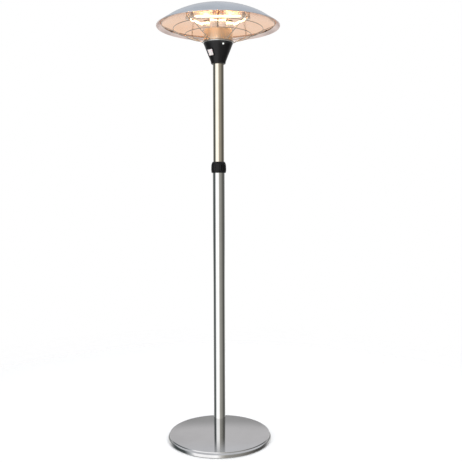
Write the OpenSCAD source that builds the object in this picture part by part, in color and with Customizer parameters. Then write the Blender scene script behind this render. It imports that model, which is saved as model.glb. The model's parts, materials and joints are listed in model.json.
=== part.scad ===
// Free-standing electric patio heater: a weighted round base, a two-section telescopic pole
// with a twist collar, a conical control housing, and a mushroom head with three halogen
// tubes over a wire guard. The origin is on the floor under the pole. The switches face -Y.

/* [Base] */
// Radius of the base's outer lip
base_r = 249; // [220:1:280]
// Radius of the base's flat top disc
base_top_r = 242.5; // [210:0.5:275]
// Height of the base
base_h = 26; // [22:1:40]
// Height of the rubber pads under the base
pad_h = 5; // [3:1:8]

/* [Pole] */
// Outer radius of the lower tube
lower_r = 28.5; // [27:0.5:32]
// Wall of the lower tube
lower_wall = 1.2; // [1:0.1:1.4]
// Height of the lower tube's top end
lower_top = 1322; // [1200:1:1400]
// Outer radius of the upper tube
upper_r = 26; // [24:0.1:26]
// Wall of the upper tube
upper_wall = 1.4; // [1:0.1:2]
// Length of the upper tube that stays inside the lower tube in the raised pose
upper_hidden = 178; // [140:1:240]

/* [Twist collar] */
// Height of the twist collar's lower edge
collar_z = 1292; // [1180:1:1300]
// Height of the collar itself
collar_h = 54; // [50:1:60]
// Largest radius of the collar
collar_r = 36.3; // [35:0.1:42]
// Number of grip ribs round the collar
collar_ribs = 20; // [16:2:48]
// Number of pockets round the collar's lower edge
collar_notches = 12; // [8:1:16]

/* [Control housing] */
// Height of the housing's lower edge
cone_z = 1816; // [1700:1:1850]
// Height of the housing's upper edge
cone_top = 1916.5; // [1880:0.5:1960]
// Outer radius at the upper edge
cone_top_r = 71.2; // [68:0.1:80]
// Outer radius just above the rounded lower lip
cone_low_r = 36.2; // [34:0.1:40]
// Wall of the housing
cone_wall = 2.5; // [2:0.1:4]
// Direction of the switch panel, in degrees round from the front
switch_az = -43; // [-80:1:80]
// Height of the switch panel's centre
switch_z = 1867; // [1857:1:1882]
// Width of each switch key
key_w = 14.7; // [12:0.1:16]
// Length of each switch key
key_l = 28.8; // [24:0.1:30]
// Half of a switch key's throw, in degrees
key_throw = 7; // [4:1:9]
// Direction of the indicator lens, in degrees round from the front
lens_az = 22; // [-20:1:60]

/* [Head] */
// Radius of the head's rim
head_r = 298; // [260:1:340]
// Height of the head's rim
rim_z = 1994; // [1960:1:2100]
// Height of the head's shell from rim to crown
dome_h = 104.5; // [90:0.5:130]
// Width of the conical brim outside the rounded crown
brim_w = 62; // [40:1:80]
// Rise of the conical brim
brim_h = 44; // [30:1:50]
// Sheet thickness of the head's shell and reflector
sheet = 1.2; // [0.8:0.1:2]
// Radius of the polished column between the housing and the reflector
column_r = 69.5; // [60:0.5:70]
// Distance of each halogen tube from the pole's axis
lamp_r = 94; // [90:1:110]
// Height of the halogen tubes
lamp_z = 2022; // [2010:1:2030]
// Length of each quartz tube
lamp_l = 236; // [200:1:250]
// Radius of each quartz tube
quartz_r = 5; // [4:0.5:6]

/* [Guard] */
// Radius of the guard's wire
wire_r = 1.75; // [1.5:0.05:2.5]
// Number of spokes in the guard
spokes = 6; // [6:6:12]

/* [Hidden] */
$fn = 96;
SMALL = 32;

steel = [0.78, 0.78, 0.77];
dark_steel = [0.45, 0.45, 0.46];
black = [0.11, 0.11, 0.12];
ivory = [0.92, 0.9, 0.84];
glow = [1, 0.72, 0.45];
rubber = [0.15, 0.15, 0.15];

fit_gap = 0.05;
lower_in = lower_r - lower_wall;
upper_in = upper_r - upper_wall;
upper_bottom = lower_top - upper_hidden;
upper_top = cone_top - 8;

cone_slope = (cone_top_r - cone_low_r) / (cone_top - cone_z - 12);
cone_tilt = atan(cone_slope);
function cone_r_at(z) = cone_low_r + cone_slope * (z - cone_z - 12);

rod_r = 4;
bolt_r = 5;
weight_z0 = pad_h;
weight_top = base_h - 1.5;
bolt_head_z = weight_z0 + 2;

dome_top = rim_z + dome_h;
crown_r = head_r - brim_w;
crown_h = dome_h - brim_h;
crown_ball = (crown_r * crown_r + crown_h * crown_h) / (2 * crown_h);
crown_steps = 20;
function crown_z(r) = dome_top - crown_ball + sqrt(crown_ball * crown_ball - r * r);
function crown_arc(drop) =
    [for (i = [crown_steps:-1:0]) [crown_r * i / crown_steps, crown_z(crown_r * i / crown_steps) - drop]];

reflector_edge_r = head_r - 21;
reflector_top = rim_z + 58;
reflector_flat_r = 70;
plate_z = lamp_z - 5.5;
plate_r = 80;
guard_hub_r = column_r + 3.8;
guard_hub_z = cone_top + 6.4;
hub_wire_r = 2.3;
// Radius and height of each guard ring, from the hub outwards
guard_rings = [
    [guard_hub_r, guard_hub_z],
    [160, rim_z - 38.5],
    [216.5, rim_z - 11.5],
    [272, rim_z + 11]
];

// Turns what follows to face a direction, in degrees round from the front
module facing(az) {
    rotate([0, 0, az]) children();
}

// A local frame on the housing's slope: x across, y up the slope, z outwards
module on_cone(az, z) {
    facing(az) translate([0, -cone_r_at(z), z]) rotate([90 + cone_tilt, 0, 0]) children();
}

module tube(outer, inner, z0, z1) {
    translate([0, 0, z0]) difference() {
        cylinder(r = outer, h = z1 - z0);
        translate([0, 0, -1]) cylinder(r = inner, h = z1 - z0 + 2);
    }
}

// A straight round rod between two points
module rod(a, b, r) {
    d = b - a;
    length = norm(d);
    translate(a) rotate([0, acos(d[2] / length), atan2(d[1], d[0])])
        cylinder(r = r, h = length, $fn = SMALL);
}

// ---- Base ----

module base_cover() {
    color(steel) difference() {
        rotate_extrude() polygon([
            [0, base_h],
            [base_top_r - 2.5, base_h],
            [base_top_r - 0.7, base_h - 0.6],
            [base_top_r, base_h - 2],
            [base_top_r, base_h - 4.5],
            [base_r - 2, base_h - 7],
            [base_r - 0.6, base_h - 9],
            [base_r, base_h - 12],
            [base_r, 3.2],
            [base_r - 0.6, 2.2],
            [base_r - 2.2, 2.2],
            [base_r - 2.2, base_h - 11],
            [base_top_r - 4, base_h - 6.2],
            [base_top_r - 4, base_h - 1.5],
            [0, base_h - 1.5]
        ]);
        translate([0, 0, base_h - 3]) cylinder(r = bolt_r + 0.5, h = 6, $fn = SMALL);
    }
}

module base_weight() {
    color(dark_steel) translate([0, 0, weight_z0]) difference() {
        cylinder(r = base_top_r - 6, h = weight_top - weight_z0);
        translate([0, 0, -1]) cylinder(r = bolt_r + 0.5, h = base_h, $fn = SMALL);
        translate([0, 0, -1]) cylinder(r = 16, h = 12, $fn = 48);
    }
}

module base_pads() {
    pads = 5;
    color(rubber) for (i = [0:pads - 1]) facing(i * 360 / pads + 36)
        translate([0, -base_r + 45, 0]) difference() {
            cylinder(r = 14, h = pad_h, $fn = 48);
            translate([0, 0, -1]) cylinder(r = 5, h = 3, $fn = SMALL);
        }
}

module pole_foot() {
    color(dark_steel) translate([0, 0, base_h]) difference() {
        union() {
            cylinder(r = lower_in, h = 12);
            cylinder(r = 14, h = 30, $fn = 48);
        }
        translate([0, 0, -1]) cylinder(r = bolt_r + fit_gap, h = 32, $fn = SMALL);
        for (a = [60:120:300]) rotate([0, 0, a]) translate([20, 0, -1])
            cylinder(r = 3.5, h = 14, $fn = SMALL);
    }
}

module pole_bolt() {
    color(steel) {
        translate([0, 0, bolt_head_z]) cylinder(r = 9.2, h = 6.4, $fn = 6);
        translate([0, 0, bolt_head_z + 6.3]) cylinder(r = bolt_r, h = 38, $fn = SMALL);
    }
}

module pole_washer() {
    color(steel) tube(15, bolt_r + 0.5, bolt_head_z + 6.4, weight_z0 + 11);
}

// ---- Pole and twist collar ----

grommet_z = base_h + 46;
inlet_r = 7;

module lower_tube() {
    color(steel) difference() {
        tube(lower_r, lower_in, base_h, lower_top);
        at_inlet() translate([0, 0, lower_in - 6])
            cylinder(r = inlet_r + fit_gap, h = 12, $fn = SMALL);
    }
}

// A local frame at the back of the lower tube: z outwards from the pole's axis
module at_inlet() {
    translate([0, 0, grommet_z]) rotate([-90, 0, 0]) children();
}

// The supply lead's inlet, just above the base
module cable_grommet() {
    color(rubber) difference() {
        union() {
            at_inlet() translate([0, 0, lower_in - 2]) cylinder(r = inlet_r, h = 6, $fn = SMALL);
            difference() {
                at_inlet() translate([0, 0, lower_r - 3])
                    cylinder(r1 = inlet_r + 3, r2 = inlet_r + 1, h = 7, $fn = SMALL);
                translate([0, 0, grommet_z - 30]) cylinder(r = lower_r + fit_gap, h = 60);
            }
        }
        at_inlet() cylinder(r = 3.6, h = lower_r + 10, $fn = SMALL);
    }
}

module collar_socket() {
    socket_low = collar_z + 3;
    turns = 4;
    pitch = 5.5;
    color(black) {
        tube(lower_r + 2.4, lower_r + fit_gap, socket_low, lower_top);
        for (i = [0:turns - 1])
            tube(lower_r + 3, lower_r + 2, socket_low + 3 + pitch * i, socket_low + 5.5 + pitch * i);
    }
}

module clamp_collet() {
    slots = 6;
    flange_top = lower_top + 3;
    color(ivory) difference() {
        union() {
            tube(lower_in, upper_r + fit_gap, lower_top - 40, lower_top + 1);
            tube(lower_r + 1.6, upper_r + fit_gap, lower_top, flange_top);
            translate([0, 0, flange_top - 0.5]) difference() {
                cylinder(r1 = lower_r + 1.2, r2 = lower_r - 0.6, h = 14);
                translate([0, 0, -1]) cylinder(r = upper_r + fit_gap, h = 20);
            }
        }
        for (i = [0:slots - 1]) rotate([0, 0, i * 360 / slots])
            translate([lower_r - 4, -0.8, lower_top - 20]) cube([8, 1.6, 60]);
    }
}

module collar_nut() {
    top = collar_z + collar_h;
    color(black) difference() {
        rotate_extrude() polygon([
            [lower_r + 3.35, collar_z],
            [collar_r - 3.4, collar_z],
            [collar_r - 1.1, collar_z + 3.5],
            [collar_r - 0.3, collar_z + 7],
            [collar_r, collar_z + 13],
            [collar_r, collar_z + 23],
            [collar_r - 0.3, collar_z + 33],
            [collar_r - 1.2, collar_z + 42],
            [collar_r - 2.8, collar_z + 47],
            [collar_r - 5, collar_z + 50.5],
            [collar_r - 7, top],
            [upper_r + 0.4, top],
            [upper_r + 0.4, top - 4],
            [lower_r + 2, top - 5],
            [lower_r + 2, lower_top + 0.4],
            [lower_r + 3.35, lower_top + 0.4]
        ]);
        for (i = [0:collar_ribs - 1]) rotate([0, 0, i * 360 / collar_ribs])
            translate([collar_r - 1.2, -2, collar_z + 8.5]) cube([3, 4, collar_h - 14]);
        for (i = [0:collar_notches - 1]) rotate([0, 0, (i + 0.5) * 360 / collar_notches])
            translate([collar_r - 2.6, -3.6, collar_z + 1.5]) cube([4, 7.2, 5]);
    }
}

module slide_bush() {
    color(ivory) tube(lower_in - fit_gap, upper_r + fit_gap, upper_bottom + 0.5, upper_bottom + 60);
    color(ivory) tube(lower_in - fit_gap, upper_in, upper_bottom - 6, upper_bottom - 0.3);
    color(ivory) tube(lower_in - fit_gap, upper_r + 0.4, upper_bottom - 1, upper_bottom + 1);
}

module upper_tube() {
    color(steel) tube(upper_r, upper_in, upper_bottom, upper_top);
}

// ---- Control housing ----

module cone_solid() {
    rotate_extrude() polygon([
        [0, cone_z],
        [upper_r + 5, cone_z],
        [cone_low_r - 2.4, cone_z + 1.6],
        [cone_low_r - 0.8, cone_z + 4.6],
        [cone_low_r - 0.4, cone_z + 8],
        [cone_low_r, cone_z + 12],
        [cone_top_r, cone_top],
        [0, cone_top]
    ]);
}

panel_w = 2 * key_w + 4.6;
panel_l = key_l + 5.2;
panel_face = 3.2;
boss_r = 57;
boss_az = [100, 220, 340];
lens_z = cone_top - 14;

module cone_housing() {
    color(black) difference() {
        union() {
            difference() {
                cone_solid();
                rotate_extrude() polygon([
                    [0, cone_z - 1],
                    [upper_r + 0.6, cone_z - 1],
                    [upper_r + 0.6, cone_z + 5],
                    [cone_low_r - cone_wall - 1, cone_z + 9],
                    [cone_low_r - cone_wall, cone_z + 12],
                    [cone_top_r - cone_wall, cone_top],
                    [cone_top_r - cone_wall, cone_top + 1],
                    [0, cone_top + 1]
                ]);
            }
            intersection() {
                cone_solid();
                for (a = boss_az) facing(a) translate([0, -boss_r, cone_top - 26])
                    cylinder(r = 4.5, h = 22.5, $fn = SMALL);
            }
        }
        for (a = boss_az) facing(a) translate([0, -boss_r, cone_top - 22])
            cylinder(r = 1.7, h = 30, $fn = SMALL);
        on_cone(switch_az, switch_z) cube([panel_w, panel_l, 40], center = true);
        on_cone(lens_az, lens_z) cylinder(r = 6, h = 20, center = true, $fn = SMALL);
    }
}

hub_t = 3.5;

module hub_plate() {
    spigot_h = 28;
    color(dark_steel) difference() {
        union() {
            translate([0, 0, cone_top - hub_t])
                cylinder(r = cone_r_at(cone_top - hub_t) - cone_wall - 0.2, h = hub_t);
            translate([0, 0, upper_top]) cylinder(r = upper_r, h = 8);
            translate([0, 0, upper_top - spigot_h]) cylinder(r = upper_in, h = spigot_h + 2);
        }
        translate([0, 0, upper_top - spigot_h + 5]) cylinder(r = 20, h = 60);
        translate([0, 0, upper_top - spigot_h - 1]) cylinder(r = rod_r, h = 12, $fn = SMALL);
        for (a = [0:120:240]) rotate([0, 0, a]) translate([13, 0, upper_top - spigot_h - 1])
            cylinder(r = 4, h = 12, $fn = SMALL);
        for (a = boss_az) facing(a) translate([0, -boss_r, cone_top - 5])
            cylinder(r = 2.2, h = 10, $fn = SMALL);
    }
}

module hub_screws() {
    color(steel) for (a = boss_az) facing(a) translate([0, -boss_r, cone_top]) {
        cylinder(r1 = 3.8, r2 = 3, h = 2.4, $fn = SMALL);
        translate([0, 0, -18]) cylinder(r = 1.7, h = 18.5, $fn = SMALL);
    }
}

module trim_ring() {
    color(steel) rotate_extrude() polygon([
        [column_r, cone_top],
        [cone_top_r + 2.6, cone_top],
        [cone_top_r + 3.3, cone_top + 0.8],
        [cone_top_r + 3.3, cone_top + 3.2],
        [cone_top_r + 2.6, cone_top + 4],
        [column_r, cone_top + 4]
    ]);
}

module switch_bezel() {
    color(black) on_cone(switch_az, switch_z) difference() {
        union() {
            difference() {
                translate([0, 0, panel_face / 2 - 5])
                    cube([panel_w + 3.6, panel_l + 3.6, panel_face + 10], center = true);
                rotate([-90 - cone_tilt, 0, 0])
                    translate([0, cone_r_at(switch_z), -switch_z]) cone_solid();
            }
            translate([0, 0, panel_face / 2 - 7])
                cube([panel_w, panel_l, panel_face + 14], center = true);
        }
        translate([0, 0, 2]) cube([2 * key_w + 1.2, key_l + 1.6, 20], center = true);
        translate([0, 0, -4]) rotate([0, 90, 0]) cylinder(r = 1.25, h = 80, center = true, $fn = SMALL);
    }
}

module switch_axle() {
    color(steel) on_cone(switch_az, switch_z) translate([0, 0, -4]) rotate([0, 90, 0])
        cylinder(r = 1.25, h = panel_w - 0.4, center = true, $fn = SMALL);
}

// One rocker key, tilted to its "on" stop
module key_body() {
    color(ivory) translate([0, 0, -4]) rotate([key_throw, 0, 0]) difference() {
        translate([-key_w / 2, 0, 0]) rotate([90, 0, 90]) linear_extrude(key_w) polygon([
            [-key_l / 2, 6.4],
            [-key_l / 4, 5.4],
            [0, 5],
            [key_l / 4, 5.4],
            [key_l / 2, 6.4],
            [key_l / 2, 3.2],
            [7, -2.6],
            [-7, -2.6],
            [-key_l / 2, 3.2]
        ]);
        rotate([0, 90, 0]) cylinder(r = 1.25 + fit_gap, h = 60, center = true, $fn = SMALL);
    }
}

module switch_key_left() {
    on_cone(switch_az, switch_z) translate([-key_w / 2 - 0.2, 0, 0]) key_body();
}

module switch_key_right() {
    on_cone(switch_az, switch_z) translate([key_w / 2 + 0.2, 0, 0]) key_body();
}

module indicator_bezel() {
    color(black) on_cone(lens_az, lens_z) translate([0, 0, -5]) difference() {
        cylinder(r = 6, h = 6.6, $fn = SMALL);
        translate([0, 0, -1]) cylinder(r = 4, h = 12, $fn = SMALL);
    }
}

module indicator_lens() {
    ball = 6;
    rise = ball - sqrt(ball * ball - 16);
    color(ivory) on_cone(lens_az, lens_z) {
        translate([0, 0, -6]) cylinder(r = 4, h = 7.6, $fn = SMALL);
        intersection() {
            translate([0, 0, 1.5]) cylinder(r = 4, h = 6, $fn = SMALL);
            translate([0, 0, 1.6 - ball + rise]) sphere(r = ball, $fn = 48);
        }
    }
}

// ---- Parts inside the column ----

block_h = 14;
block_y = 28;
function way_x(i) = -19.5 + 13 * i;

module terminal_block() {
    ways = 4;
    color(ivory) translate([0, block_y, cone_top]) difference() {
        translate([-26, -9, 0]) cube([52, 18, block_h]);
        for (i = [0:ways - 1]) translate([way_x(i), 5, 4]) cylinder(r = 2.6, h = 12, $fn = SMALL);
    }
}

module tilt_switch() {
    color(black) translate([-38, -30, cone_top]) {
        translate([-8, -8, 0]) cube([16, 16, 4]);
        translate([0, 0, 3.5]) cylinder(r = 7, h = 20, $fn = 48);
    }
}

module thermal_cutout() {
    color(ivory) facing(60) translate([0, -34, plate_z - 9]) {
        translate([0, 0, 7]) cylinder(r = 12, h = 2, $fn = 48);
        cylinder(r = 8, h = 7.2, $fn = 48);
    }
}

// ---- Column and centre rod ----

sleeve_top = cone_top + 63;

module column_sleeve() {
    color(steel) difference() {
        translate([0, 0, cone_top]) cylinder(r = column_r, h = sleeve_top - cone_top);
        translate([0, 0, cone_top - 1]) cylinder(r = column_r - 1, h = sleeve_top - cone_top - 0.5);
        translate([0, 0, sleeve_top - 5]) cylinder(r = 50, h = 10);
    }
}

// Three bent plates with a narrow slot between neighbours, one slot at the front
module column_plates() {
    outer = 76;
    slot = 4;
    color(steel) difference() {
        translate([0, 0, sleeve_top]) rotate([0, 0, 30]) difference() {
            cylinder(r = outer, h = plate_z - sleeve_top, $fn = 6);
            translate([0, 0, -1]) cylinder(r = outer - 1.6, h = plate_z, $fn = 6);
        }
        for (a = [0:120:240]) facing(a)
            translate([-slot / 2, -outer - 5, sleeve_top - 1]) cube([slot, 40, plate_z]);
    }
}

module lamp_plate() {
    color(steel) translate([0, 0, plate_z]) difference() {
        rotate([0, 0, 30]) cylinder(r = plate_r, h = 1.5, $fn = 6);
        translate([0, 0, -1]) cylinder(r = rod_r + 0.3, h = 4, $fn = SMALL);
        for (i = [0:5]) facing(lead_az(i)) translate([0, -lead_r, -1])
            cylinder(r = 3, h = 4, $fn = SMALL);
    }
}

module tie_rod() {
    color(steel) translate([0, 0, upper_top - 26])
        cylinder(r = rod_r, h = dome_top + 6 - (upper_top - 26), $fn = SMALL);
}

module rod_spacers() {
    color(steel) {
        tube(7, rod_r + 0.3, plate_z + 1.5, reflector_top - sheet);
        tube(7, rod_r + 0.3, reflector_top, crown_z(7) - sheet - 0.15);
        tube(16, rod_r + 0.3, plate_z - 3, plate_z);
    }
}

// ---- Head shells ----

module reflector() {
    mid_r = 255;
    color(steel) difference() {
        rotate_extrude() polygon([
            [0, reflector_top],
            [reflector_flat_r, reflector_top],
            [110, reflector_top - 3],
            [150, reflector_top - 7.5],
            [190, reflector_top - 14],
            [225, reflector_top - 21.5],
            [mid_r, reflector_top - 30.5],
            [reflector_edge_r, rim_z + 13.4],
            [reflector_edge_r, rim_z + 13.4 - sheet],
            [mid_r - 0.5, reflector_top - 30.5 - sheet],
            [225, reflector_top - 21.5 - sheet],
            [190, reflector_top - 14 - sheet],
            [150, reflector_top - 7.5 - sheet],
            [110, reflector_top - 3 - sheet],
            [reflector_flat_r, reflector_top - sheet],
            [0, reflector_top - sheet]
        ]);
        translate([0, 0, reflector_top - 5]) cylinder(r = rod_r + 0.3, h = 10, $fn = SMALL);
    }
}

module dome_cover() {
    color(steel) difference() {
        rotate_extrude() polygon(concat(
            [[head_r, rim_z + 0.6], [head_r - 0.6, rim_z], [head_r - 1.8, rim_z]],
            [[head_r - 1.8, rim_z + 1]],
            [for (p = crown_arc(sheet)) [max(0, p[0] - (p[0] > 1 ? 0.5 : 0)), p[1]]],
            [for (i = [0:crown_steps]) [crown_r * i / crown_steps, crown_z(crown_r * i / crown_steps)]]
        ));
        translate([0, 0, dome_top - 5]) cylinder(r = rod_r + 0.3, h = 10, $fn = SMALL);
    }
}

module dome_washer() {
    color(steel) tube(12, rod_r + 0.2, dome_top, dome_top + 1.4);
}

module dome_nut() {
    nut_z = dome_top + 1.4;
    color(steel) difference() {
        union() {
            translate([0, 0, nut_z]) cylinder(r = 7.5, h = 4, $fn = 6);
            intersection() {
                translate([0, 0, nut_z + 3.5]) sphere(r = 6, $fn = 48);
                translate([0, 0, nut_z + 3.5]) cylinder(r = 7, h = 8);
            }
        }
        translate([0, 0, nut_z - 1]) cylinder(r = rod_r, h = dome_top + 6 - nut_z + 1, $fn = SMALL);
    }
}

// ---- Lamps ----

holder_in = lamp_l / 2 - 8;
holder_out = holder_in + 22;
lead_r = 44;
lead_z = lamp_z + 14;

// Directions of the three lamps, and the place of each end in turn
function lamp_az(i) = 120 * floor(i / 2);
function lamp_side(i) = i % 2 == 0 ? -1 : 1;
function lead_az(i) = lamp_az(i) + 32 * lamp_side(i);
function turned(az, x, y) = [x * cos(az) - y * sin(az), x * sin(az) + y * cos(az)];

// A local frame on one lamp: x along the tube, z up
module each_lamp() {
    for (i = [0:2]) facing(120 * i) translate([0, -lamp_r, lamp_z]) children();
}

module quartz_tubes() {
    color(glow) each_lamp() rotate([0, 90, 0]) difference() {
        cylinder(r = quartz_r, h = lamp_l, center = true, $fn = 48);
        cylinder(r = quartz_r - 1, h = lamp_l - 6, center = true, $fn = 48);
    }
}

module filaments() {
    color(glow) each_lamp() rotate([0, 90, 0])
        cylinder(r = 1.2, h = lamp_l - 30, center = true, $fn = SMALL);
}

module lamp_holders() {
    color(ivory) each_lamp() for (s = [-1, 1]) translate([s * (holder_in + 11), 0, 0])
        difference() {
            cube([22, 14, 14], center = true);
            translate([-s * 3, 0, 0]) rotate([0, 90, 0])
                cylinder(r = quartz_r + fit_gap, h = 22, center = true, $fn = 48);
        }
}

bracket_h = reflector_top - sheet - 10 - lamp_z - 7;

// Angle brackets that hang the lamp holders from the reflector
module lamp_brackets() {
    thick = 1;
    half = 6;
    color(steel) each_lamp() for (s = [-1, 1]) translate([s * (holder_in + 11), 0, 7]) {
        translate([-half, -half, 0]) cube([2 * half, 2 * half, thick]);
        translate([-half, -half, 0]) cube([2 * half, thick, bracket_h]);
    }
}

// The terminal that each lead starts from, counted along the terminal block
LEAD_WAY = [0, 3, 2, 0, 0, 1];

// One insulated lead from the terminal block to each lamp holder
module lamp_leads() {
    wire = 1.3;
    elbow = 1.6;
    color(ivory) for (i = [0:5]) {
        az = lead_az(i);
        end = turned(lamp_az(i), lamp_side(i) * (holder_in + 19.6), -lamp_r + 2);
        stops = [
            [way_x(LEAD_WAY[i]), block_y, cone_top + block_h],
            [way_x(LEAD_WAY[i]), block_y, cone_top + block_h + 5],
            [lead_r * sin(az), -lead_r * cos(az), cone_top + block_h + 26],
            [lead_r * sin(az), -lead_r * cos(az), lead_z],
            [end[0], end[1], lead_z],
            [end[0], end[1], lamp_z + 7]
        ];
        for (k = [0:4]) rod(stops[k], stops[k + 1], wire);
        for (k = [1:4]) translate(stops[k]) sphere(r = elbow, $fn = SMALL);
    }
}

// ---- Guard ----

module wire_ring(r, z, thick) {
    translate([0, 0, z]) rotate_extrude() translate([r, 0]) circle(r = thick, $fn = 24);
}

module guard_hub_ring() {
    color(steel) wire_ring(guard_hub_r, guard_hub_z, hub_wire_r);
}

module guard_ring_inner() {
    color(steel) wire_ring(guard_rings[1][0], guard_rings[1][1], wire_r);
}

module guard_ring_middle() {
    color(steel) wire_ring(guard_rings[2][0], guard_rings[2][1], wire_r);
}

module guard_ring_outer() {
    color(steel) wire_ring(guard_rings[3][0], guard_rings[3][1], wire_r);
}

// Bent spokes that lie under the rings, where they are welded
module guard_spokes() {
    drop = 2 * wire_r + 0.5;
    start_r = guard_hub_r + hub_wire_r + 0.15;
    color(steel) for (i = [0:spokes - 1]) facing(i * 360 / spokes + 30) {
        stops = [
            [0, -start_r, guard_hub_z - 0.4],
            for (k = [1:3]) [0, -guard_rings[k][0] - (k == 3 ? 1 : 0), guard_rings[k][1] - drop]
        ];
        for (k = [0:2]) rod(stops[k], stops[k + 1], wire_r);
        for (k = [1:2]) translate(stops[k]) sphere(r = wire_r + 0.25, $fn = SMALL);
    }
}

// Clips that hold the guard's outer ring up to the reflector's edge
module guard_clips() {
    ring = guard_rings[3];
    color(steel) for (a = [0:120:240]) facing(a) translate([0, -ring[0], ring[1]])
        difference() {
            rotate([90, 0, 90]) linear_extrude(12, center = true) polygon([
                [-3, -3.4],
                [3.2, -3.4],
                [3.2, 6],
                [-3, 2.1]
            ]);
            rotate([0, 90, 0]) cylinder(r = wire_r + 0.12, h = 40, center = true, $fn = 24);
        }
}

base_cover();
base_weight();
base_pads();
pole_foot();
pole_bolt();
pole_washer();
lower_tube();
cable_grommet();
collar_socket();
clamp_collet();
collar_nut();
slide_bush();
upper_tube();
hub_plate();
hub_screws();
cone_housing();
trim_ring();
switch_bezel();
switch_axle();
switch_key_left();
switch_key_right();
indicator_bezel();
indicator_lens();
terminal_block();
tilt_switch();
thermal_cutout();
column_sleeve();
column_plates();
lamp_plate();
tie_rod();
rod_spacers();
reflector();
dome_cover();
dome_washer();
dome_nut();
quartz_tubes();
filaments();
lamp_holders();
lamp_brackets();
lamp_leads();
guard_hub_ring();
guard_ring_inner();
guard_ring_middle();
guard_ring_outer();
guard_spokes();
guard_clips();
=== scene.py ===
import json
import math

import bmesh
import bpy
from mathutils import Matrix, Vector


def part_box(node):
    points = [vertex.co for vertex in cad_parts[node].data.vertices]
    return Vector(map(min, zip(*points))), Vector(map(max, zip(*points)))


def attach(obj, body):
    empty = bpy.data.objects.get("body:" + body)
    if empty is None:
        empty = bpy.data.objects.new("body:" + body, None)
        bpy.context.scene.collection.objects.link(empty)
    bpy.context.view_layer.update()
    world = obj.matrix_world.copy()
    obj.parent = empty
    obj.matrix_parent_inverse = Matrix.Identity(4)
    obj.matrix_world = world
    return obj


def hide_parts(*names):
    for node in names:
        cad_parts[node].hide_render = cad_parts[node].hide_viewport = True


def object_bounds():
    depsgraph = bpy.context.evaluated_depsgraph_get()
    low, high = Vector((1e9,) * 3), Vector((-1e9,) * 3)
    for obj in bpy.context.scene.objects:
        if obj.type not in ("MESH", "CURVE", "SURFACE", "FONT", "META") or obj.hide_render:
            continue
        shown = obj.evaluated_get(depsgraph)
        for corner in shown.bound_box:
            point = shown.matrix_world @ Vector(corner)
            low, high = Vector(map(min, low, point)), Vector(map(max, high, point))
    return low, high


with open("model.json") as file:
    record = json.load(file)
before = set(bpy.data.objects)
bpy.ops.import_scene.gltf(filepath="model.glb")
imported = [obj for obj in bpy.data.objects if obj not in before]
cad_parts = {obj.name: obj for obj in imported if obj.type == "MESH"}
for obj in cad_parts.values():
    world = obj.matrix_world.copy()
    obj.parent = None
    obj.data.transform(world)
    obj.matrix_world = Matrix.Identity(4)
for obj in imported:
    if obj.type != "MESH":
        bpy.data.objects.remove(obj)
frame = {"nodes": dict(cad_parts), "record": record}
cad_low, cad_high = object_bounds()
record = frame["record"]
BODY_OF = {node: body for body, nodes in record["behaviour"]["bodies"].items() for node in nodes}
SLOT_OF = {part["node"]: part["material_slot"] for part in record["subparts"]}
MM = 0.001


# ---- Driving places, read from the frame (metres) ----

dome_low, dome_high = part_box("dome_cover")
HEAD_R, RIM_Z, CROWN_Z = dome_high.x, dome_low.z, dome_high.z
BRIM_W, BRIM_RISE = 62 * MM, 44 * MM
SHEET = 1.2 * MM

mirror_low, mirror_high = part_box("reflector")
MIRROR_R, MIRROR_TOP = mirror_high.x, mirror_high.z
ROD_HOLE = 4.3 * MM

cone_low, cone_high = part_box("cone_housing")
CONE_Z, CONE_TOP, CONE_TOP_R = cone_low.z, cone_high.z, cone_high.x
CONE_LOW_R, CONE_SKIRT = 36.2 * MM, 12 * MM
CONE_SLOPE = (CONE_TOP_R - CONE_LOW_R) / (CONE_TOP - CONE_Z - CONE_SKIRT)
CONE_TILT = math.atan(CONE_SLOPE)

base_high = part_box("base_cover")[1]
BASE_R, BASE_TOP = base_high.x, base_high.z
BASE_FLAT_R = BASE_R - 6.5 * MM

LOWER_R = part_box("lower_tube")[1].x
UPPER_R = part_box("upper_tube")[1].x

lamp_low, lamp_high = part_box("quartz_tubes")
LAMP_Z = (lamp_low.z + lamp_high.z) / 2
QUARTZ_R = (lamp_high.z - lamp_low.z) / 2
LAMP_R = -lamp_low.y - QUARTZ_R
LAMP_L = 236 * MM
LAMP_DIRECTIONS = (0, 120, 240)


# ---- Mesh helpers ----

def facing(degrees):
    """Turns a piece to face a direction, counted round from the front."""
    return Matrix.Rotation(math.radians(degrees), 4, "Z")


def on_cone(degrees, z):
    """A local frame on the housing's slope: x across, y up the slope, z outwards."""
    radius = CONE_LOW_R + CONE_SLOPE * (z - CONE_Z - CONE_SKIRT)
    place = Matrix.Translation((0, -radius, z))
    return facing(degrees) @ place @ Matrix.Rotation(math.pi / 2 + CONE_TILT, 4, "X")


def finish_bmesh(name, shape, sharp_degrees=35):
    """Makes a smooth object of the shape, with sharp edges where it bends by more than this angle."""
    bmesh.ops.remove_doubles(shape, verts=shape.verts, dist=1e-6)
    bmesh.ops.recalc_face_normals(shape, faces=shape.faces)
    mesh = bpy.data.meshes.new(name)
    shape.to_mesh(mesh)
    shape.free()
    mesh.shade_smooth()
    mesh.set_sharp_from_angle(angle=math.radians(sharp_degrees))
    piece = bpy.data.objects.new(name, mesh)
    bpy.context.scene.collection.objects.link(piece)
    return piece


def add_loft(shape, loops, ring=False, caps=False):
    """Skins a list of loops that all have the same number of points; returns their rows of vertices."""
    rows = [[shape.verts.new(p) for p in loop] for loop in loops]
    count = len(loops[0])
    pairs = list(zip(rows, rows[1:])) + ([(rows[-1], rows[0])] if ring else [])
    for low, high in pairs:
        for i in range(count):
            j = (i + 1) % count
            shape.faces.new((low[i], low[j], high[j], high[i]))
    if caps:
        shape.faces.new(rows[0])
        shape.faces.new(rows[-1])
    return rows


def even_angles(count):
    """Angles spaced evenly round one turn."""
    return [2 * math.pi * i / count for i in range(count)]


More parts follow.
